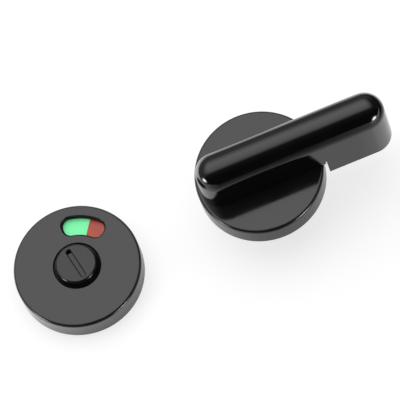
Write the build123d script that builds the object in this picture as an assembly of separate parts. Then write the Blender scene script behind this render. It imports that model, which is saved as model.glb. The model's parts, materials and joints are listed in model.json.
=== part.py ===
"""Partition door lock: an indicator half and a lever half, lying side by side on a table.

The indicator half goes on the outside of a partition door, the lever half on the inside. They lie
apart here, as they do before they are fitted. All sizes are in millimetres, +Z is up.
The origin is the middle of the indicator half's back face. Each half is drawn round its own axis
with the door's face at z = 0, and the lever half is then lifted onto its spindle and screw ends.
"""
from build123d import *
import math
import os

# Door and placing of the two halves
DOOR = 13.0              # thickness of the partition board
SPINDLE_REACH = 7.0      # length of spindle and screws past the board
HALF_PITCH = 97.1        # lever half's axis from the indicator's, along X
HALF_SHIFT = 1.5         # and along Y

# Round cover of either half
ROSETTE_R = 31.0
ROSETTE_H = 12.0
ROSETTE_EDGE = 1.5       # rounding of the front edge
COVER_WALL = 2.4
COVER_TOP = 2.5
COVER_CORNER = 0.8       # rounding of the inner corner
HOLE_EDGE = 0.35         # rounding of the holes in the front
SNAP_LIFT = 1.2          # snap bead above the door face
SNAP_DEPTH = 0.8
SNAP_LAND = 0.4          # flat top of the bead
SNAP_SPAN = 20.0         # degrees of rim that one bead takes
SNAP_ANGLES = (30, 150, 210, 330)
KEY_W = 3.0              # ribs that stop the cover turning on its base
KEY_DEPTH = 1.2
KEY_ANGLES = (90, 270)

# Clearances
SEAT = 0.3               # round a piece pushed into its seat
RUNNING = 0.05           # radial, of a shaft in its bearing
TURN_GAP = 0.3           # between a turning face and a fixed one
FIT = 0.1                # each side of a square or round piece fixed in its socket
OVERRUN = 1.0            # length by which a cutter passes the face it opens
ROOT = 0.2               # depth by which a raised feature is rooted in what carries it

# Clamp screws and the brass inserts that take them
SCREW_PITCH = 38.0
SCREW_R = 2.0
THREAD_R = 1.77          # M4 thread, drawn at its pitch radius
SCREW_PLAY = 0.25
HEAD_R = 3.8
HEAD_H = 2.4
HEAD_ROUND = 0.8
HEAD_PLAY = 0.4
CROSS_W = 0.9            # cross recess in a screw head
CROSS_L = 3.6
CROSS_DEPTH = 1.4
TIP = 0.5                # bevel of a screw's or a spindle's end
INSERT_R = 2.8
INSERT_FLANGE_R = 3.5
INSERT_FLANGE_T = 0.6
INSERT_SKIN = 1.0        # plastic left under the insert
KNURL_R = 0.35
KNURLS = 12
BOSS_WALL = 1.6

# Indicator base, dial and colours
IND_BASE_T = 3.0
HUB_R = 8.0
COLLAR_WALL = 3.5
RIB_T = 1.6
RIB_H = 1.4
RIB_STEP = 45
DIAL_CLEAR = 1.6         # between the dial's rim and the cover's wall
DIAL_T = 1.1
FOIL_T = 0.3
FOIL_EDGE = 0.4          # dial's rim left round the colours
FOIL_LAP = 2.0           # bare dial between button and colours
FOIL_ANGLE = 95.0        # degrees of each colour
COLOUR_ANGLE = 56.5      # where the colours meet, as the dial stands in the photo
DIAL_DOWN_ANGLE = -40.0  # dial's travel: all green
DIAL_UP_ANGLE = 50.0     # all red
TAB_W = 2.2              # stop tab under the dial
TAB_H = 2.4
TAB_EDGE = 0.5           # tab inside the dial's rim
TAB_HALF_ANGLE = 4.0
TAB_ANGLE = 270.0
STOP_HALF_ANGLE = 2.5
STOP_CLEAR_ANGLE = 1.2   # between tab and stop at the end of the travel
SPINDLE_SOCKET = 9.6     # outer square of the metal socket in the dial's hub
SOCKET_FACE = 0.4        # socket's end inside the hub's end

# Window over the dial
WINDOW_LAND = 4.3        # front left between button and window
WINDOW_EDGE = 1.5        # dial's rim beyond the window
WINDOW_ROUND = 0.45      # corner radius as a share of the window's width
WINDOW_START_ANGLE = 31.5
WINDOW_END_ANGLE = 91.8
LENS_T = 1.0
LENS_LAP = 1.3
LENS_SEAT = 0.4          # depth of the pane's seat in the underside of the front

# Emergency release button
BUTTON_R = 11.2
BUTTON_TOP_R = 9.6       # at the top of its sloping side
BUTTON_RISE = 3.4        # above the cover's front
BUTTON_ROUND = 1.2
COIN_L = 15.3
COIN_W = 2.1
COIN_DEPTH = 2.6
COIN_CORNER = 0.6
COIN_EDGE = 0.7          # rounding of the slot's mouth
COIN_ANGLE = 101.0
PEG_R = 1.2
PEG_EDGE = 0.5           # drive pegs inside the button's rim

# Retaining rings and disc springs
CLIP_T = 0.9
CLIP_GROOVE = 0.7        # depth of the groove in the shaft
CLIP_W = 1.8
CLIP_OPEN = 40.0         # degrees
CLIP_EAR_R = 1.1
CLIP_EYE_R = 0.5
CLIP_LAND = 0.7          # shaft left beyond the groove
BACK_GAP = 0.5           # shaft's end inside the face round it
SPRING_T = 0.4
SPRING_H = 1.0
SPRING_W = 2.0

# Lever base with its spigot
LEV_BASE_T = 4.0
SPIGOT_R = 10.75
SPIGOT_SHORT = 0.5       # spigot's end inside the board's far face
SPIGOT_EDGE = 0.5
JOURNAL_R = 7.0
STOP_R = 10.2
STOP_DEPTH = 2.0
LUG_HALF_ANGLE = 12.0
LUG_CLEAR_ANGLE = 2.0    # at each end of the lever's travel
LUG_ANGLE = 225.0
LEVER_TRAVEL_ANGLE = 90.0
HEAD_SEAT = 2.0          # floor of the screw pocket above the door face

# Drive hub, spindle and click springs
CAM_FLAT = 12.4
CAM_R = 7.9
TENON = 9.0
TENON_L = 11.0
WEB_UP = 1.5             # underside of the screw's web above the cam
SPINDLE = 7.0
SPINDLE_EDGE = 0.5
LEVER_SCREW_L = 19.5
LEVER_HEAD_R = 3.4
PIN_R = 1.5
PIN_DROP = 4.0           # cross pin's axis below the door face
PIN_SHORT = 0.3
CLICK_T = 0.5
CLICK_L = 24.0
CLICK_H = 4.0
CLICK_TAB = 2.0
POST_W = 3.0
POST_D = 3.5
POST_PLAY = 0.15

# Lever
LEVER_HALF_W = 9.7       # half width at the rosette's front
LEVER_H = 27.7           # above the rosette's front
LEVER_DRAFT = 0.6        # degrees
CROWN_FLAT = 0.15        # half width of the flat left along the crown
TAIL_INSET = 1.8         # tail's end inside the rosette's rim
NOSE_REACH = 35.2        # nose's end beyond the rim
NOSE_GAP = 0.6           # between rim and nose
NOSE_CLEAR = 1.7         # nose above the door face
LEVER_LIFT = 0.4         # lever above the rosette's front
LEVER_WALL = 2.4
LEVER_RIB = 1.6
LEVER_RIB_UP = 8.0       # rib's lower edge above the lever's underside
LEVER_BAY_RIBS = 2       # cross ribs in each of the tail, middle and nose bays
LEVER_HUB_R = 8.5
LEVER_BOSS_R = 4.2
NOSE_WALL_UP = 8.0       # nose's inner wall above the lever's underside
SLIT_W = 0.6             # groove in each side where the nose begins
SLIT_H = 7.0
SLIT_DEPTH = 1.0

# Levels and radii worked out from the sizes above
COVER_IN_R = ROSETTE_R - COVER_WALL
BASE_R = COVER_IN_R - SEAT
DIAL_R = COVER_IN_R - DIAL_CLEAR
FOIL_OUT_R = DIAL_R - FOIL_EDGE
FOIL_IN_R = BUTTON_R + FOIL_LAP
TAB_IN_R = DIAL_R - TAB_EDGE - TAB_W
WINDOW_OUT_R = DIAL_R - WINDOW_EDGE
WINDOW_IN_R = BUTTON_R + WINDOW_LAND
WINDOW_CORNER = WINDOW_ROUND * (WINDOW_OUT_R - WINDOW_IN_R)
PEG_AT = BUTTON_R - PEG_EDGE - PEG_R
INSERT_BORE_R = THREAD_R + RUNNING
CEILING = ROSETTE_H - COVER_TOP
LENS_TOP = CEILING + LENS_SEAT
FOIL_TOP = LENS_TOP - LENS_T - TURN_GAP
DIAL_TOP = FOIL_TOP - FOIL_T
DIAL_FOOT = DIAL_TOP - DIAL_T
COLLAR_TOP = DIAL_FOOT - TURN_GAP - SPRING_H
COLLAR_R = HUB_R + RUNNING + COLLAR_WALL
CLIP_ROOM_R = CLIP_W + CLIP_EAR_R + SEAT
CLIP_FOOT = BACK_GAP + CLIP_LAND
IND_RECESS = CLIP_FOOT + CLIP_T + TURN_GAP
SCREW_HOLE_R = SCREW_R + SCREW_PLAY
SOCKET_TOP = SPINDLE_REACH
SPIGOT_L = DOOR - SPIGOT_SHORT
LEV_RECESS = CLIP_FOOT + CLIP_T + TURN_GAP + SPRING_H
LEVER_Z = DOOR + SPINDLE_REACH
CAM_FOOT = LEV_BASE_T + TURN_GAP
CAM_TOP = CEILING - BACK_GAP
WEB = CAM_TOP + WEB_UP
UNDERSIDE = ROSETTE_H + LEVER_LIFT
NOSE_X = ROSETTE_R + NOSE_GAP
TENON_TOP = CAM_TOP + TENON_L
ON_FLOOR = (Align.CENTER, Align.CENTER, Align.MIN)


def disc(radius, low, high):
    """Solid cylinder about the Z axis between two levels."""
    return Pos(0, 0, low) * Cylinder(radius, high - low, align=ON_FLOOR)


def ring(outer, inner, low, high):
    """Flat ring about the Z axis."""
    return disc(outer, low, high) - disc(inner, low - OVERRUN, high + OVERRUN)


def bar(width, depth, low, high):
    """Upright block about the Z axis."""
    return Pos(0, 0, low) * Box(width, depth, high - low, align=ON_FLOOR)


def span(x0, x1, y0, y1, low, high):
    """Block between two corners."""
    middle = Pos((x0 + x1) / 2, (y0 + y1) / 2, low)
    return middle * Box(x1 - x0, y1 - y0, high - low, align=ON_FLOOR)


def arc_outline(inner, outer, start, end):
    """Flat face between two radii and two directions, in degrees from +X."""
    near = CenterArc((0, 0), inner, start, end - start)
    far = CenterArc((0, 0), outer, start, end - start)
    first = Line(near @ 0, far @ 0)
    last = Line(near @ 1, far @ 1)
    return make_face([near, far, first, last])


def sector(inner, outer, start, end, low, high):
    """Piece of a ring between two directions."""
    return extrude(Pos(0, 0, low) * arc_outline(inner, outer, start, end), high - low)


def at_angle(angle):
    """Turn about the Z axis, in degrees."""
    return Rot(0, 0, angle)


def screw_places():
    """The two clamp screws' axes."""
    return [Pos(side * SCREW_PITCH / 2, 0, 0) for side in (-1, 1)]


def snap_profile(grow):
    """Section of the snap bead on the cover, or of its groove in the base when grown."""
    face_r = COVER_IN_R + ROOT
    tip_r = COVER_IN_R - SNAP_DEPTH - grow
    depth = face_r - tip_r
    low = SNAP_LIFT - depth / 2 - grow
    high = SNAP_LIFT + depth / 2 + SNAP_LAND + grow
    points = [(face_r, low), (tip_r, low + depth / 2), (tip_r, high - depth / 2), (face_r, high)]
    return make_face(Plane.XZ * Polyline(*points, close=True))


def cover_blank(hole_r):
    """Round moulded cover, open at the back, with snap beads and keys inside its wall."""
    cover = disc(ROSETTE_R, 0, ROSETTE_H)
    front = cover.edges().filter_by(GeomType.CIRCLE).sort_by(Axis.Z)[-1]
    cover = fillet(front, ROSETTE_EDGE)
    hollow = disc(COVER_IN_R, -OVERRUN, CEILING)
    corner = hollow.edges().filter_by(GeomType.CIRCLE).sort_by(Axis.Z)[-1]
    cover -= fillet(corner, COVER_CORNER)
    for angle in SNAP_ANGLES:
        bead = revolve(snap_profile(0), Axis.Z, SNAP_SPAN)
        cover += at_angle(angle - SNAP_SPAN / 2) * bead
    for angle in KEY_ANGLES:
        key = span(COVER_IN_R - KEY_DEPTH, COVER_IN_R + ROOT, -KEY_W / 2, KEY_W / 2, 0, IND_BASE_T)
        cover += at_angle(angle) * key
    cover -= disc(hole_r, CEILING - OVERRUN, ROSETTE_H + OVERRUN)
    return cover


def base_blank(thickness):
    """Base disc with the snap groove and the key notches that the cover grips."""
    base = disc(BASE_R, 0, thickness)
    base -= revolve(snap_profile(SEAT / 2), Axis.Z, 360)
    for angle in KEY_ANGLES:
        notch_in = COVER_IN_R - KEY_DEPTH - SEAT
        notch_w = KEY_W / 2 + SEAT
        notch = span(notch_in, ROSETTE_R, -notch_w, notch_w, -OVERRUN, thickness + OVERRUN)
        base -= at_angle(angle) * notch
    return base


def retaining_ring(shaft_r, low):
    """Spring steel ring, open on one side, with an ear and an eye at each end."""
    inner = shaft_r - CLIP_GROOVE + RUNNING
    outer = inner + CLIP_W
    half = CLIP_OPEN / 2
    clip = sector(inner, outer, half, 360 - half, low, low + CLIP_T)
    for side in (-1, 1):
        ear_at = at_angle(side * (half + CLIP_EAR_R / outer * 30)) * Pos(outer - CLIP_EAR_R / 2, 0, 0)
        clip += ear_at * disc(CLIP_EAR_R, low, low + CLIP_T)
        clip -= ear_at * disc(CLIP_EYE_R, low - OVERRUN, low + CLIP_T + OVERRUN)
    return clip


def clip_groove(shaft_r, low):
    """Cutter for the groove that a retaining ring sits in."""
    floor_r = shaft_r - CLIP_GROOVE
    return ring(shaft_r + OVERRUN, floor_r, low - RUNNING, low + CLIP_T + RUNNING)


def disc_spring(shaft_r, low, high):
    """Coned spring washer; its outer edge is at the low level."""
    inner = shaft_r + TURN_GAP
    outer = inner + SPRING_W
    points = [(inner, high - SPRING_T), (outer, low), (outer, low + SPRING_T), (inner, high)]
    return revolve(make_face(Plane.XZ * Polyline(*points, close=True)), Axis.Z, 360)


def pan_head(radius, low, high, underside):
    """Screw head about the Z axis with a cross recess; underside tells which end is rounded."""
    head = disc(radius, low, high)
    rims = head.edges().filter_by(GeomType.CIRCLE).sort_by(Axis.Z)
    head = fillet(rims[0] if underside else rims[-1], HEAD_ROUND)
    face = low if underside else high - CROSS_DEPTH
    for turn in (0, 90):
        head -= at_angle(turn) * bar(CROSS_L, CROSS_W, face, face + CROSS_DEPTH)
    return head


def indicator_cover():
    """Front cover of the indicator half, with the window and the pane's seat behind it."""
    cover = cover_blank(BUTTON_R + TURN_GAP)
    outline = window_outline()
    rebate = offset(outline, LENS_LAP + FIT)
    cover -= extrude(Pos(0, 0, CEILING - OVERRUN) * outline, COVER_TOP + 2 * OVERRUN)
    cover -= extrude(Pos(0, 0, CEILING - OVERRUN) * rebate, LENS_SEAT + OVERRUN)
    front = cover.faces().filter_by(Axis.Z).sort_by(Axis.Z)[-1]
    openings = [edge for wire in front.inner_wires() for edge in wire.edges()]
    return fillet(openings, HOLE_EDGE)


def window_outline():
    """Curved window with round corners, struck from the button's axis."""
    outline = arc_outline(WINDOW_IN_R, WINDOW_OUT_R, WINDOW_START_ANGLE, WINDOW_END_ANGLE)
    return fillet(outline.vertices(), WINDOW_CORNER)


def window_lens():
    """Clear pane, seated in the underside of the cover's front."""
    pane = offset(window_outline(), LENS_LAP)
    return extrude(Pos(0, 0, LENS_TOP - LENS_T) * pane, LENS_T)


def indicator_base():
    """Moulded base: bearing collar for the dial, bosses for the inserts, ribs and two stops."""
    boss_r = INSERT_FLANGE_R + BOSS_WALL / 2
    base = base_blank(IND_BASE_T)
    base += disc(COLLAR_R, 0, COLLAR_TOP)
    rib_end = TAB_IN_R - SEAT
    for angle in range(0, 360, RIB_STEP):
        rib = span(HUB_R + COLLAR_WALL / 2, rib_end, -RIB_T / 2, RIB_T / 2, 0, IND_BASE_T + RIB_H)
        base += at_angle(angle) * rib
    for place in screw_places():
        base += place * disc(boss_r, 0, COLLAR_TOP)
    stop_out = TAB_IN_R + TAB_W + SEAT
    for end, way in ((DIAL_DOWN_ANGLE, -1), (DIAL_UP_ANGLE, 1)):
        near = TAB_ANGLE + end + way * (TAB_HALF_ANGLE + STOP_CLEAR_ANGLE)
        far = near + way * 2 * STOP_HALF_ANGLE
        base += sector(TAB_IN_R, stop_out, min(near, far), max(near, far), IND_BASE_T - ROOT, COLLAR_TOP)
    base -= disc(HUB_R + RUNNING, -OVERRUN, COLLAR_TOP + OVERRUN)
    base -= disc(HUB_R - CLIP_GROOVE + CLIP_ROOM_R, -OVERRUN, IND_RECESS)
    for place in screw_places():
        base -= place * disc(SCREW_HOLE_R, -OVERRUN, INSERT_SKIN)
        base -= place * disc(INSERT_R + RUNNING, INSERT_SKIN, COLLAR_TOP + OVERRUN)
        flange_r = INSERT_FLANGE_R + RUNNING
        base -= place * disc(flange_r, COLLAR_TOP - INSERT_FLANGE_T, COLLAR_TOP + OVERRUN)
    return base


def threaded_inserts():
    """Two knurled brass inserts, flanged at the front so that the screws pull them home."""
    pieces = []
    for place in screw_places():
        insert = disc(INSERT_R, INSERT_SKIN, COLLAR_TOP - INSERT_FLANGE_T)
        for turn in range(KNURLS):
            groove = disc(KNURL_R, INSERT_SKIN - OVERRUN, COLLAR_TOP - INSERT_FLANGE_T)
            insert -= at_angle(turn * 360 / KNURLS) * Pos(INSERT_R, 0, 0) * groove
        insert += disc(INSERT_FLANGE_R, COLLAR_TOP - INSERT_FLANGE_T, COLLAR_TOP)
        insert -= disc(INSERT_BORE_R, 0, COLLAR_TOP + OVERRUN)
        pieces.append(place * insert)
    return Compound(children=pieces)


def indicator_dial():
    """Dial disc with its hub, a square pocket for the metal socket and a stop tab."""
    foot = BACK_GAP
    dial = disc(DIAL_R, DIAL_FOOT, DIAL_TOP)
    dial += disc(HUB_R, foot, DIAL_FOOT)
    tab_start = TAB_ANGLE - TAB_HALF_ANGLE
    tab_end = TAB_ANGLE + TAB_HALF_ANGLE
    dial += sector(TAB_IN_R, TAB_IN_R + TAB_W, tab_start, tab_end, DIAL_FOOT - TAB_H, DIAL_FOOT + ROOT)
    pocket = SPINDLE_SOCKET + 2 * RUNNING
    dial -= bar(pocket, pocket, 0, SOCKET_TOP)
    dial -= clip_groove(HUB_R, CLIP_FOOT)
    for side in (-1, 1):
        peg = Pos(side * PEG_AT, 0, 0) * disc(PEG_R + RUNNING, DIAL_FOOT - OVERRUN, DIAL_TOP + OVERRUN)
        dial -= at_angle(COIN_ANGLE) * peg
    return dial


def spindle_socket():
    """Metal socket in the dial's hub, square inside and out."""
    foot = BACK_GAP + SOCKET_FACE
    hole = SPINDLE + 2 * FIT
    return bar(SPINDLE_SOCKET, SPINDLE_SOCKET, foot, SOCKET_TOP) - bar(hole, hole, 0, SOCKET_TOP + OVERRUN)


def colour_field(start):
    """Coloured foil on the dial, from one direction onwards."""
    return sector(FOIL_IN_R, FOIL_OUT_R, start, start + FOIL_ANGLE, DIAL_TOP, FOIL_TOP)


def release_button():
    """Round button with a coin slot and two drive pegs through the dial."""
    face = ROSETTE_H + BUTTON_RISE
    button = disc(BUTTON_R, DIAL_TOP, ROSETTE_H)
    button += Pos(0, 0, ROSETTE_H) * Cone(BUTTON_R, BUTTON_TOP_R, BUTTON_RISE, align=ON_FLOOR)
    crown = button.edges().filter_by(GeomType.CIRCLE).sort_by(Axis.Z)[-1]
    button = fillet(crown, BUTTON_ROUND)
    for side in (-1, 1):
        button += at_angle(COIN_ANGLE) * Pos(side * PEG_AT, 0, 0) * disc(PEG_R, DIAL_FOOT, DIAL_TOP)
    slot = RectangleRounded(COIN_L, COIN_W, COIN_CORNER, rotation=COIN_ANGLE)
    button -= extrude(Pos(0, 0, face - COIN_DEPTH) * slot, COIN_DEPTH + OVERRUN)
    front = button.faces().filter_by(Axis.Z).sort_by(Axis.Z)[-1]
    return fillet(front.inner_wires()[0].edges(), COIN_EDGE)


def lever_cover():
    """Front cover of the lever half, with a round hole for the lever's hub."""
    cover = cover_blank(LEVER_HUB_R + TURN_GAP)
    front = cover.faces().filter_by(Axis.Z).sort_by(Axis.Z)[-1]
    return fillet(front.inner_wires()[0].edges(), HOLE_EDGE)


def click_places():
    """Mirror places of the two click springs, one on each side of the cam."""
    return [at_angle(turn) for turn in (0, 180)]


def lever_base():
    """Moulded base with the spigot, screw pockets, stop groove and click spring posts."""
    base = base_blank(LEV_BASE_T)
    spigot = disc(SPIGOT_R, -SPIGOT_L, ROOT)
    end = spigot.edges().filter_by(GeomType.CIRCLE).sort_by(Axis.Z)[0]
    base += chamfer(end, SPIGOT_EDGE)
    post_top = LEV_BASE_T + CLICK_H + ROOT
    post_y = CAM_R + TURN_GAP + CLICK_T / 2
    post_x = CLICK_L / 2 - CLICK_T - SEAT - POST_W / 2
    slot = CLICK_T + 2 * POST_PLAY
    for place in click_places():
        for side in (-1, 1):
            base += place * Pos(side * post_x, post_y, 0) * bar(POST_W, POST_D, ROOT, post_top)
        base -= place * Pos(0, post_y, 0) * bar(2 * CLICK_L, slot, LEV_BASE_T, post_top + OVERRUN)
    base -= disc(JOURNAL_R + RUNNING, -SPIGOT_L - OVERRUN, LEV_BASE_T + OVERRUN)
    room_r = JOURNAL_R - CLIP_GROOVE + CLIP_ROOM_R
    base -= disc(room_r, -SPIGOT_L - OVERRUN, LEV_RECESS - SPIGOT_L)
    ends = LUG_HALF_ANGLE + LUG_CLEAR_ANGLE
    base -= sector(
        JOURNAL_R - ROOT,
        STOP_R + TURN_GAP,
        LUG_ANGLE - ends,
        LUG_ANGLE + LEVER_TRAVEL_ANGLE + ends,
        LEV_BASE_T - STOP_DEPTH,
        LEV_BASE_T + OVERRUN,
    )
    for place in screw_places():
        base -= place * disc(SCREW_HOLE_R, -OVERRUN, LEV_BASE_T)
        base -= place * disc(HEAD_R + HEAD_PLAY, HEAD_SEAT, LEV_BASE_T + OVERRUN)
    return base


def clamp_screws():
    """Two screws through the board; their heads sit in the lever base's pockets."""
    pieces = []
    for place in screw_places():
        screw = pan_head(HEAD_R, HEAD_SEAT, HEAD_SEAT + HEAD_H, False)
        screw += disc(SCREW_R, 0, HEAD_SEAT)
        thread = disc(THREAD_R, -LEVER_Z, 0)
        end = thread.edges().filter_by(GeomType.CIRCLE).sort_by(Axis.Z)[0]
        screw += chamfer(end, TIP)
        pieces.append(place * screw)
    return Compound(children=pieces)


def drive_hub():
    """Metal hub: journal in the spigot, stop lug, square click cam and tenon for the lever."""
    foot = BACK_GAP - SPIGOT_L
    hub = disc(JOURNAL_R, foot, CAM_FOOT)
    hub += sector(
        JOURNAL_R - ROOT,
        STOP_R,
        LUG_ANGLE - LUG_HALF_ANGLE,
        LUG_ANGLE + LUG_HALF_ANGLE,
        LEV_BASE_T - STOP_DEPTH + TURN_GAP,
        LEV_BASE_T - TURN_GAP,
    )
    hub += disc(CAM_R, CAM_FOOT, CAM_TOP) & bar(CAM_FLAT, CAM_FLAT, CAM_FOOT, CAM_TOP)
    hub += bar(TENON, TENON, CAM_TOP, TENON_TOP)
    hole = SPINDLE + 2 * FIT
    hub -= bar(hole, hole, foot - OVERRUN, WEB)
    hub -= disc(SCREW_R + FIT, WEB - OVERRUN, TENON_TOP + OVERRUN)
    hub -= clip_groove(JOURNAL_R, CLIP_FOOT - SPIGOT_L)
    return hub - cross_hole()


def cross_hole():
    """Cutter for the pin through hub and spindle."""
    return Pos(0, 0, -PIN_DROP) * Rot(0, 90, 0) * Cylinder(PIN_R + RUNNING, 3 * JOURNAL_R)


def spindle():
    """Square spindle, which reaches through the board into the other half."""
    top = WEB - HEAD_H - SEAT
    rod = bar(SPINDLE, SPINDLE, -LEVER_Z, top)
    rod = chamfer(rod.edges().filter_by(Axis.Z), SPINDLE_EDGE)
    rod = chamfer(rod.faces().sort_by(Axis.Z)[0].edges(), TIP)
    return rod - cross_hole()


def spindle_pin():
    """Slotted spring pin through hub and spindle."""
    length = 2 * (JOURNAL_R - PIN_SHORT)
    pin = Cylinder(PIN_R, length) - Cylinder(PIN_R / 2, 2 * length)
    pin -= Pos(PIN_R, 0, 0) * Box(2 * PIN_R, PIN_R / 3, 2 * length)
    return Pos(0, 0, -PIN_DROP) * Rot(0, 90, 0) * pin


def lever_screw():
    """Screw that pulls the lever down onto the hub's tenon, from inside the hub."""
    screw = pan_head(LEVER_HEAD_R, WEB - HEAD_H, WEB, True)
    shank = disc(SCREW_R, WEB, WEB + LEVER_SCREW_L)
    end = shank.edges().filter_by(GeomType.CIRCLE).sort_by(Axis.Z)[-1]
    return screw + chamfer(end, TIP)


def click_springs():
    """Two leaf springs beside the cam, with their ends bent behind the posts."""
    near = CAM_R + TURN_GAP
    foot = LEV_BASE_T + FIT
    pieces = []
    for place in click_places():
        leaf = span(-CLICK_L / 2, CLICK_L / 2, near, near + CLICK_T, foot, foot + CLICK_H)
        for side in (-1, 1):
            end = side * (CLICK_L - CLICK_T) / 2
            leaf += span(end - CLICK_T / 2, end + CLICK_T / 2, near, near + CLICK_TAB, foot, foot + CLICK_H)
        pieces.append(place * leaf)
    return Compound(children=pieces)


def lever_form(inset, height):
    """Drafted bar with round ends and a round crown, set in from the lever's outside."""
    slope = math.tan(math.radians(LEVER_DRAFT))
    half = LEVER_HALF_W + (ROSETTE_H - NOSE_CLEAR) * slope
    tail = TAIL_INSET - ROSETTE_R - (ROSETTE_H - NOSE_CLEAR) * slope + half
    nose = ROSETTE_R + NOSE_REACH - half
    plan = SlotCenterToCenter(nose - tail, 2 * (half - inset))
    rise = height - NOSE_CLEAR
    form = extrude(Pos((tail + nose) / 2, 0, NOSE_CLEAR) * plan, rise, taper=LEVER_DRAFT)
    crown = form.faces().sort_by(Axis.Z)[-1].edges()
    return fillet(crown, half - rise * slope - inset - CROWN_FLAT)


def cross_rib_places():
    """X of the lever's cross ribs, evenly spread over its tail, middle and nose bays."""
    tail_bay = (TAIL_INSET + LEVER_WALL - ROSETTE_R, -LEVER_HUB_R)
    middle_bay = (LEVER_HUB_R, NOSE_X)
    nose_bay = (NOSE_X + LEVER_WALL, ROSETTE_R + NOSE_REACH - LEVER_WALL)
    places = []
    for start, end in (tail_bay, middle_bay, nose_bay):
        pitch = (end - start) / (LEVER_BAY_RIBS + 1)
        places += [start + pitch * (rib + 1) for rib in range(LEVER_BAY_RIBS)]
    return places


def lever():
    """Hollow lever: shell, hub, screw boss and ribs, with the nose hanging past the rim."""
    top = ROSETTE_H + LEVER_H
    form = lever_form(0, top)
    cavity = lever_form(LEVER_WALL, top - LEVER_WALL)
    ribs = []
    reach = ROSETTE_R + NOSE_REACH
    rib_foot = UNDERSIDE + LEVER_RIB_UP
    ribs.append(span(-reach, reach, -LEVER_RIB / 2, LEVER_RIB / 2, rib_foot, top))
    for x in cross_rib_places():
        ribs.append(Pos(x, 0, 0) * bar(LEVER_RIB, 2 * reach, rib_foot, top))
    ribs.append(disc(LEVER_HUB_R, UNDERSIDE, TENON_TOP + LEVER_WALL))
    ribs.append(disc(LEVER_BOSS_R, UNDERSIDE, top))
    wall_top = UNDERSIDE + NOSE_WALL_UP
    ribs.append(span(NOSE_X, NOSE_X + LEVER_WALL, -reach, reach, NOSE_CLEAR, wall_top))
    body = form - cavity
    for rib in ribs:
        body += rib & form
    body -= span(-reach, NOSE_X, -reach, reach, -OVERRUN, UNDERSIDE)
    slit_floor = LEVER_HALF_W - SLIT_DEPTH
    for turn in (1, -1):
        y0, y1 = sorted((turn * slit_floor, turn * reach))
        body -= span(NOSE_X - SLIT_W, NOSE_X, y0, y1, UNDERSIDE - OVERRUN, UNDERSIDE + SLIT_H)
    body += disc(LEVER_HUB_R, CAM_TOP, UNDERSIDE + ROOT)
    hole = TENON + 2 * FIT
    body -= bar(hole, hole, CAM_TOP - OVERRUN, TENON_TOP + FIT)
    body -= disc(SCREW_R + RUNNING, TENON_TOP, WEB + LEVER_SCREW_L + SEAT)
    return body


def indicator_half():
    """All pieces of the indicator half, by node name."""
    return {
        "indicator_cover": indicator_cover(),
        "window_lens": window_lens(),
        "indicator_base": indicator_base(),
        "threaded_inserts": threaded_inserts(),
        "indicator_dial": indicator_dial(),
        "spindle_socket": spindle_socket(),
        "green_field": colour_field(COLOUR_ANGLE),
        "red_field": colour_field(COLOUR_ANGLE - FOIL_ANGLE),
        "release_button": release_button(),
        "dial_spring": disc_spring(HUB_R, COLLAR_TOP, COLLAR_TOP + SPRING_H),
        "dial_clip": retaining_ring(HUB_R, CLIP_FOOT),
    }


def lever_half():
    """All pieces of the lever half, by node name, with the door's face at z = 0."""
    spring_top = LEV_RECESS - SPIGOT_L
    return {
        "lever_cover": lever_cover(),
        "lever_base": lever_base(),
        "clamp_screws": clamp_screws(),
        "click_springs": click_springs(),
        "hub_spring": disc_spring(JOURNAL_R, spring_top - SPRING_H, spring_top),
        "hub_clip": retaining_ring(JOURNAL_R, CLIP_FOOT - SPIGOT_L),
        "drive_hub": drive_hub(),
        "spindle": spindle(),
        "spindle_pin": spindle_pin(),
        "lever_screw": lever_screw(),
        "lever": lever(),
    }


pieces = indicator_half()
lift = Pos(HALF_PITCH, HALF_SHIFT, LEVER_Z)
for name, piece in lever_half().items():
    pieces[name] = lift * piece

os.makedirs("parts", exist_ok=True)
for name, piece in pieces.items():
    export_step(piece, f"parts/{name}.step")
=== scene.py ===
"""Looks of the partition door lock: materials, light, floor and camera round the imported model."""
import json
import math

import bpy
from mathutils import Matrix, Vector


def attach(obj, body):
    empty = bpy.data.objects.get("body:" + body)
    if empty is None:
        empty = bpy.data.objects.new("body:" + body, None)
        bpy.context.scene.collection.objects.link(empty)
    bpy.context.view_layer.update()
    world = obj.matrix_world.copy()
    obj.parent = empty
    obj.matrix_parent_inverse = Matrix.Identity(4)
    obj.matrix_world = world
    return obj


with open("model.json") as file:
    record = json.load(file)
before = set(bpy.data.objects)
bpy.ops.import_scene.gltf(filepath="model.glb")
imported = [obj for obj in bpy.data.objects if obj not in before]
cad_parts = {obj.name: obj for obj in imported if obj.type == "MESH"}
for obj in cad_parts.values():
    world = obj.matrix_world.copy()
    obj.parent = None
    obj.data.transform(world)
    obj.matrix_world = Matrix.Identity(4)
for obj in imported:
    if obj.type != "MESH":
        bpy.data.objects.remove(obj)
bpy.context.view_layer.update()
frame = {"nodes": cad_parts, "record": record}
nodes = frame["nodes"]

# Camera of the photograph, fitted to the two round covers
LENS = 450.0         # mm
TILT = 67.91         # degrees down from the horizontal
ROLL = -22.20
AIM = Vector((-0.05705, 0.03552, 2.39961))   # frame's origin from the camera: right, down, ahead
CLIP = (0.1, 50.0)

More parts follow.
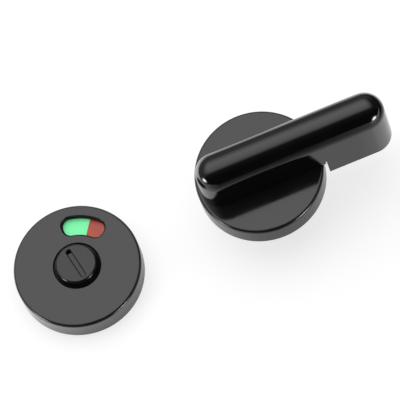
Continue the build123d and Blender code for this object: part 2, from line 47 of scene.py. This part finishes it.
# Light, where 1 renders as white. An edge is a smooth step: from, to and, if not 0 and 1, the
# values at both. The world's edges are in degrees from straight up, to the back or to the right
BOX_LIGHT = 2.02     # softbox, from overhead to the back
BOX_BACK = ((75, 28), (-5, 22, 0.75, 1.0), (-17, 3))
BOX_RIGHT = ((62, 18), (-70, -20))
SPILL_LIGHT = 0.08   # added from overhead backwards
SPILL_BACK = (-50, -10)
ROOM_LIGHT = 0.35    # dim room at the back and left
DARK_LIGHT = 0.016   # and its dark side, behind the camera
ROOM_EDGE = (0.05, 0.7)
ROOM_RIGHT = -0.5    # what a direction to the right counts for the room, where one to the back is 1
LAMPS = (            # bearing, height, half width and half height in degrees, level
    (-57, 0, 22, 20, 32.0),
    (-165, 5, 20, 14, 27.0),
)
LAMP_CORE = 0.1      # share of a lamp's size that is at its full level

# Floor, with its edges in metres along X and Y
FLOOR_SIZE = 6.0
FLOOR_GREY = 0.35    # its matt colour
FLOOR_SEEN = 0.73    # glow added for the camera and through the window
# What reflections see of the floor is painted reflection, with painted contact shade and painted
# lamp reflections
FLOOR_NEAR = 0.87    # painted reflection: glow that only reflections see close to the object, varied along Y and X
FLOOR_NEAR_Y = ((-0.15, -0.02, 0.4, 1.0), (0.24, 0.12, 0.5, 1.0), (0.005, 0.060, 1.0, 2.2))
FLOOR_NEAR_X = ((0.08, -0.035, 0.66, 1.75), (0.145, 0.165, 1.0, 1.6))
FLOOR_FADE_Y = ((-0.50, -0.20), (0.60, 0.30))
FLOOR_FADE_X = ((0.30, 0.18), (-0.50, -0.20))
FLOOR_FAR = 0.05     # painted reflection: glow that they see past that
PAINTED_LAMP_REFLECTIONS = (    # edges along X and Y, and the glow of the painted reflection below each low lamp, seen by reflections
    ((0.12, 0.30), (-0.04, -0.20), 1.8),
    ((-0.05, -0.15), (0.10, 0.03), 0.6),
)
PAINTED_SHADE_REACH = 0.010    # metres within which painted shade from the object dims the near glow
PAINTED_SHADE_SAMPLES = 8

# Surfaces: clouds of noise vary the colour and the roughness, and fine grain makes the relief
GRAIN_SCALE = 900.0
GRAIN_DETAIL = 2.0
CLOUD_SCALE = 75.0
CLOUD_DETAIL = 3.0
CLOUD_EDGE = (0.3, 0.7)
ROUGH_VARY = 0.15
RELIEF = 0.0002      # metres
MIX_LOW, MIX_HIGH, MIX_RESULT = 6, 7, 2   # a Mix node's colour sockets
LOOKS = {
    "black_plastic": {"colour": (0.0022, 0.0022, 0.0023), "rough": 0.10, "vary": 0.3},
    # Painted light: a lighter copy of the black plastic for the covers, which lifts the dark parts
    # of the disc faces
    "black_cover_painted_light": {"colour": (0.009, 0.009, 0.009), "rough": 0.11, "vary": 0.2},
    "black_button": {"colour": (0.003, 0.003, 0.003), "rough": 0.09, "vary": 0.25, "ior": 1.46},
    # Matt black of the ring of painted shade round the window
    "painted_shade_ring_black": {"colour": (0.003, 0.003, 0.003), "rough": 0.55, "vary": 0.3, "ior": 1.3},
    "grey_plastic": {"colour": (0.03, 0.03, 0.032), "rough": 0.45, "bump": 0.08},
    "clear_plastic": {
        "colour": (0.97, 0.985, 0.98),
        "rough": 0.03,
        "vary": 0.01,
        "bump": 0.0,
        "ior": 1.15,
        "clear": 1.0,
    },
    # The foils' glow is painted light: it keeps their colours bright in the shaded window recess
    "green_foil": {"colour": (0.19, 0.93, 0.40), "rough": 0.5, "vary": 0.03, "glow": 0.35},
    "red_foil": {"colour": (0.40, 0.052, 0.028), "rough": 0.5, "vary": 0.06, "glow": 0.35},
    "brass": {"colour": (0.72, 0.46, 0.16), "rough": 0.28, "metal": 1.0},
    "cast_zinc": {"colour": (0.50, 0.50, 0.52), "rough": 0.40, "metal": 1.0, "bump": 0.1},
    "spring_steel": {"colour": (0.36, 0.36, 0.38), "rough": 0.30, "metal": 1.0},
    "plated_steel": {"colour": (0.62, 0.63, 0.66), "rough": 0.25, "metal": 1.0},
}
OWN_LOOKS = {        # nodes that look otherwise than the rest of their slot
    "indicator_cover": "black_cover_painted_light",
    "lever_cover": "black_cover_painted_light",
    "release_button": "black_button",
}

# Black ring of painted shade round the window, in metres and degrees, on the pane and against the
# opening's wall
# It stands in for the shade and the dark reflections at the window's edge
WINDOW_IN_R = 0.0155
WINDOW_OUT_R = 0.0255
WINDOW_ENDS = (31.5, 91.8)
WINDOW_CORNER = 0.0045
SHADE_RING_SECTION = (     # distance in from the opening's wall, and height above the frame's origin
    (0.00002, 0.00990),
    (0.00070, 0.00990),
    (0.00069, 0.01085),
    (0.00063, 0.01113),
    (0.00052, 0.01133),
    (0.00038, 0.01150),
    (0.00020, 0.01165),
    (0.00002, 0.01175),
)
SHADE_RING_SHIFT = Vector((0.19, -0.19))   # makes the painted shade wider at the green end and thinner at the red
CORNER_STEPS = 12
ARC_STEPS = 32


def build_camera():
    """Long lens, looking along +Y and down, rolled as the photograph is."""
    tilt, roll = math.radians(TILT), math.radians(ROLL)
    right = Vector((1, 0, 0))
    ahead = Vector((0, math.cos(tilt), -math.sin(tilt)))
    down = ahead.cross(right)
    across = math.cos(roll) * right - math.sin(roll) * down
    below = math.sin(roll) * right + math.cos(roll) * down
    data = bpy.data.cameras.new("camera")
    data.lens = LENS
    data.clip_start, data.clip_end = CLIP
    camera = bpy.data.objects.new("camera", data)
    bpy.context.scene.collection.objects.link(camera)
    place = -(AIM.x * across + AIM.y * below + AIM.z * ahead)
    turn = Matrix((across, -below, -ahead)).transposed()
    camera.matrix_world = Matrix.Translation(place) @ turn.to_4x4()
    bpy.context.scene.camera = camera


class Graph:
    """Short way to write a node tree."""

    def __init__(self, tree):
        self.tree = tree
        tree.nodes.clear()

    def node(self, kind, **settings):
        """New node with its settings."""
        made = self.tree.nodes.new(kind)
        for name, value in settings.items():
            setattr(made, name, value)
        return made

    def link(self, source, target):
        """Link from an output to an input."""
        self.tree.links.new(source, target)

    def calc(self, operation, *values):
        """Math node; a number is set on its socket, and anything else is linked to it."""
        made = self.node("ShaderNodeMath", operation=operation)
        for socket, value in zip(made.inputs, values):
            if isinstance(value, (int, float)):
                socket.default_value = value
            else:
                self.link(value, socket)
        return made.outputs[0]

    def product(self, *values):
        """All values multiplied."""
        result = values[0]
        for value in values[1:]:
            result = self.calc("MULTIPLY", result, value)
        return result

    def step(self, value, low, high, out_low=0.0, out_high=1.0):
        """Smooth step from out_low at low to out_high at high."""
        made = self.node("ShaderNodeMapRange", interpolation_type="SMOOTHSTEP")
        made.inputs["From Min"].default_value = low
        made.inputs["From Max"].default_value = high
        made.inputs["To Min"].default_value = out_low
        made.inputs["To Max"].default_value = out_high
        self.link(value, made.inputs["Value"])
        return made.outputs["Result"]

    def steps(self, value, edges):
        """A smooth step of the value for each edge."""
        return [self.step(value, *edge) for edge in edges]

    def split(self, vector):
        """Vector's X, Y and Z."""
        made = self.node("ShaderNodeSeparateXYZ")
        self.link(vector, made.inputs[0])
        return made.outputs

    def along(self, way, axis):
        """Length of a direction's part along an axis."""
        made = self.node("ShaderNodeVectorMath", operation="DOT_PRODUCT")
        self.link(way, made.inputs[0])
        made.inputs[1].default_value = axis
        return made.outputs["Value"]

    def angle(self, side, ahead):
        """Degrees by which a direction leans to the side of ahead."""
        return self.calc("DEGREES", self.calc("ARCTAN2", side, ahead))


def lamp(g, way, bearing, height, half_width, half_height, strength):
    """Level of a round, soft-edged lamp in each direction."""
    aim = Matrix.Rotation(math.radians(bearing), 3, "Z")
    aim @= Matrix.Rotation(-math.radians(height), 3, "Y")
    ahead, aside, above = (g.along(way, axis) for axis in aim.transposed())
    sideways = g.calc("DIVIDE", g.angle(aside, ahead), half_width)
    upward = g.calc("DIVIDE", g.angle(above, ahead), half_height)
    off = g.calc("SQRT", g.calc("ADD", g.product(sideways, sideways), g.product(upward, upward)))
    glow = g.step(off, 1.0, LAMP_CORE)
    return g.product(glow, glow, strength)


def build_world():
    """Softbox overhead, dim room at the back and left, two low lamps, dark behind the camera."""
    world = bpy.data.worlds.new("studio")
    bpy.context.scene.world = world
    world.use_nodes = True
    g = Graph(world.node_tree)
    way = g.node("ShaderNodeTexCoord").outputs["Generated"]
    x, y, z = g.split(way)
    back, right = g.angle(y, z), g.angle(x, z)
    box = g.product(*g.steps(back, BOX_BACK), *g.steps(right, BOX_RIGHT), BOX_LIGHT)
    roomward = g.calc("ADD", y, g.calc("MULTIPLY", x, ROOM_RIGHT))
    room = g.step(roomward, *ROOM_EDGE, DARK_LIGHT, ROOM_LIGHT)
    spill = g.step(back, *SPILL_BACK, 0.0, SPILL_LIGHT)
    level = g.calc("ADD", g.calc("ADD", box, room), spill)
    for settings in LAMPS:
        level = g.calc("ADD", level, lamp(g, way, *settings))
    path = g.node("ShaderNodeLightPath")
    level = g.calc("MAXIMUM", level, path.outputs["Is Camera Ray"])
    light = g.node("ShaderNodeBackground")
    light.inputs["Color"].default_value = (1, 1, 1, 1)
    g.link(level, light.inputs["Strength"])
    g.link(light.outputs[0], g.node("ShaderNodeOutputWorld").inputs[0])


def floor_material():
    """Matt white; part of it is glow that only the camera, the window and reflections see, and what
    reflections see is painted reflection and painted shade.
    """
    material = bpy.data.materials.new("floor")
    material.use_nodes = True
    g = Graph(material.node_tree)
    path = g.node("ShaderNodeLightPath")
    matt = g.node("ShaderNodeBsdfDiffuse")
    unmirrored = g.calc("SUBTRACT", 1.0, path.outputs["Is Glossy Ray"])
    g.link(g.calc("MULTIPLY", unmirrored, FLOOR_GREY), matt.inputs[0])
    x, y, _ = g.split(g.node("ShaderNodeTexCoord").outputs["Object"])
    near = g.product(*g.steps(y, FLOOR_NEAR_Y), *g.steps(x, FLOOR_NEAR_X), FLOOR_NEAR)
    fade = g.product(*g.steps(y, FLOOR_FADE_Y), *g.steps(x, FLOOR_FADE_X))
    # Painted shade: the near glow darkens close to the object
    painted_shade = g.node("ShaderNodeAmbientOcclusion", samples=PAINTED_SHADE_SAMPLES)
    painted_shade.inputs["Distance"].default_value = PAINTED_SHADE_REACH
    mirrored = g.calc("ADD", g.product(near, fade, painted_shade.outputs["AO"]), FLOOR_FAR)
    # Painted reflections of the low lamps on the floor
    for x_edge, y_edge, strength in PAINTED_LAMP_REFLECTIONS:
        lamp_reflection = g.product(g.step(x, *x_edge), g.step(y, *y_edge), strength)
        mirrored = g.calc("ADD", mirrored, lamp_reflection)
    mirrored = g.calc("MULTIPLY", mirrored, path.outputs["Is Glossy Ray"])
    seen = g.calc("MAXIMUM", path.outputs["Is Camera Ray"], path.outputs["Is Transmission Ray"])
    seen = g.calc("MULTIPLY", seen, FLOOR_SEEN)
    glow = g.node("ShaderNodeEmission")
    g.link(g.calc("MAXIMUM", seen, mirrored), glow.inputs["Strength"])
    both = g.node("ShaderNodeAddShader")
    g.link(matt.outputs[0], both.inputs[0])
    g.link(glow.outputs[0], both.inputs[1])
    g.link(both.outputs[0], g.node("ShaderNodeOutputMaterial").inputs[0])
    return material


def build_floor():
    """Flat white table under the lock."""
    mesh = bpy.data.meshes.new("floor")
    half = FLOOR_SIZE / 2
    corners = [(-half, -half, 0), (half, -half, 0), (half, half, 0), (-half, half, 0)]
    mesh.from_pydata(corners, [], [(0, 1, 2, 3)])
    mesh.materials.append(floor_material())
    floor = bpy.data.objects.new("floor", mesh)
    bpy.context.scene.collection.objects.link(floor)


def surface(name, colour, rough, metal=0.0, vary=0.15, bump=0.02, ior=1.5, clear=0.0, glow=0.0):
    """Principled surface whose colour, roughness and height vary a little with noise."""
    material = bpy.data.materials.new(name)
    material.use_nodes = True
    g = Graph(material.node_tree)
    shader = g.node("ShaderNodeBsdfPrincipled")
    shader.inputs["Metallic"].default_value = metal
    shader.inputs["IOR"].default_value = ior
    shader.inputs["Transmission Weight"].default_value = clear
    # A glow set here is painted light, as no part is a lamp
    shader.inputs["Emission Strength"].default_value = glow
    place = g.node("ShaderNodeTexCoord").outputs["Object"]

    def noise(scale, detail):
        made = g.node("ShaderNodeTexNoise")
        made.inputs["Scale"].default_value = scale
        made.inputs["Detail"].default_value = detail
        g.link(place, made.inputs["Vector"])
        return made.outputs["Fac"]

    cloud = noise(CLOUD_SCALE, CLOUD_DETAIL)
    tint = g.node("ShaderNodeMix", data_type="RGBA")
    tint.inputs[MIX_LOW].default_value = (*(c * (1 - vary) for c in colour), 1)
    tint.inputs[MIX_HIGH].default_value = (*(min(1.0, c * (1 + vary)) for c in colour), 1)
    g.link(cloud, tint.inputs[0])
    g.link(tint.outputs[MIX_RESULT], shader.inputs["Base Color"])
    g.link(tint.outputs[MIX_RESULT], shader.inputs["Emission Color"])
    finish = g.step(cloud, *CLOUD_EDGE, rough * (1 - ROUGH_VARY), rough * (1 + ROUGH_VARY))
    g.link(finish, shader.inputs["Roughness"])
    relief = g.node("ShaderNodeBump")
    relief.inputs["Strength"].default_value = bump
    relief.inputs["Distance"].default_value = RELIEF
    g.link(noise(GRAIN_SCALE, GRAIN_DETAIL), relief.inputs["Height"])
    g.link(relief.outputs[0], shader.inputs["Normal"])
    g.link(shader.outputs[0], g.node("ShaderNodeOutputMaterial").inputs[0])
    return material


def dress(name, material):
    """Gives a CAD node its material."""
    data = nodes[name].data
    data.materials.clear()
    data.materials.append(material)
    for face in data.polygons:
        face.material_index = 0


def heading(angle):
    """Unit vector at an angle."""
    return Vector((math.cos(angle), math.sin(angle)))


def sweep(first, last, count):
    """Angles from first to last in equal steps."""
    return [first + (last - first) * number / count for number in range(count + 1)]


def window_edge():
    """Points of the window's outline, each with its direction out of the opening."""
    start, end = (math.radians(angle) for angle in WINDOW_ENDS)
    quarter = math.pi / 2
    out_r, in_r = WINDOW_OUT_R - WINDOW_CORNER, WINDOW_IN_R + WINDOW_CORNER
    out_turn, in_turn = (math.asin(WINDOW_CORNER / distance) for distance in (out_r, in_r))

    def corner(distance, bearing, first, last):
        middle = distance * heading(bearing)
        ways = [heading(angle) for angle in sweep(first, last, CORNER_STEPS)]
        return [(middle + WINDOW_CORNER * way, way) for way in ways]

    def side(radius, first, last, outward):
        ways = [heading(angle) for angle in sweep(first, last, ARC_STEPS)[1:-1]]
        return [(radius * way, outward * way) for way in ways]

    return [
        *corner(out_r, end - out_turn, end - out_turn, end + quarter),
        *corner(in_r, end - in_turn, end + quarter, end - in_turn + 2 * quarter),
        *side(WINDOW_IN_R, end - in_turn, start + in_turn, -1),
        *corner(in_r, start + in_turn, start + in_turn + 2 * quarter, start + 3 * quarter),
        *corner(out_r, start + out_turn, start - quarter, start + out_turn),
        *side(WINDOW_OUT_R, start + out_turn, end - out_turn, 1),
    ]


def build_painted_shade_ring(material):
    """Thin black ring of painted shade that lies on the pane, all round the window."""
    edge = window_edge()
    verts, faces = [], []
    for place, out in edge:
        for inward, height in SHADE_RING_SECTION:
            verts.append((*(place - inward * (out - SHADE_RING_SHIFT)), height))
    rows = len(SHADE_RING_SECTION)
    for number in range(len(edge)):
        here, there = number * rows, (number + 1) % len(edge) * rows
        for row in range(rows):
            after = (row + 1) % rows
            faces.append((here + row, here + after, there + after, there + row))
    mesh = bpy.data.meshes.new("window_painted_shade_ring")
    mesh.from_pydata(verts, [], faces)
    mesh.materials.append(material)
    mesh.shade_smooth()
    shade_ring = bpy.data.objects.new("window_painted_shade_ring", mesh)
    bpy.context.scene.collection.objects.link(shade_ring)
    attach(shade_ring, "case")


def build_materials():
    """Makes every material, dresses each CAD node in its slot's or its own, and adds the ring of
    painted shade round the window.
    """
    made = {name: surface(name, **look) for name, look in LOOKS.items()}
    for part in frame["record"]["subparts"]:
        look = OWN_LOOKS.get(part["node"], part["material_slot"])
        dress(part["node"], made[look])
    build_painted_shade_ring(made["painted_shade_ring_black"])


build_camera()
build_world()
build_floor()
build_materials()
bpy.context.scene.view_settings.view_transform = "Standard"
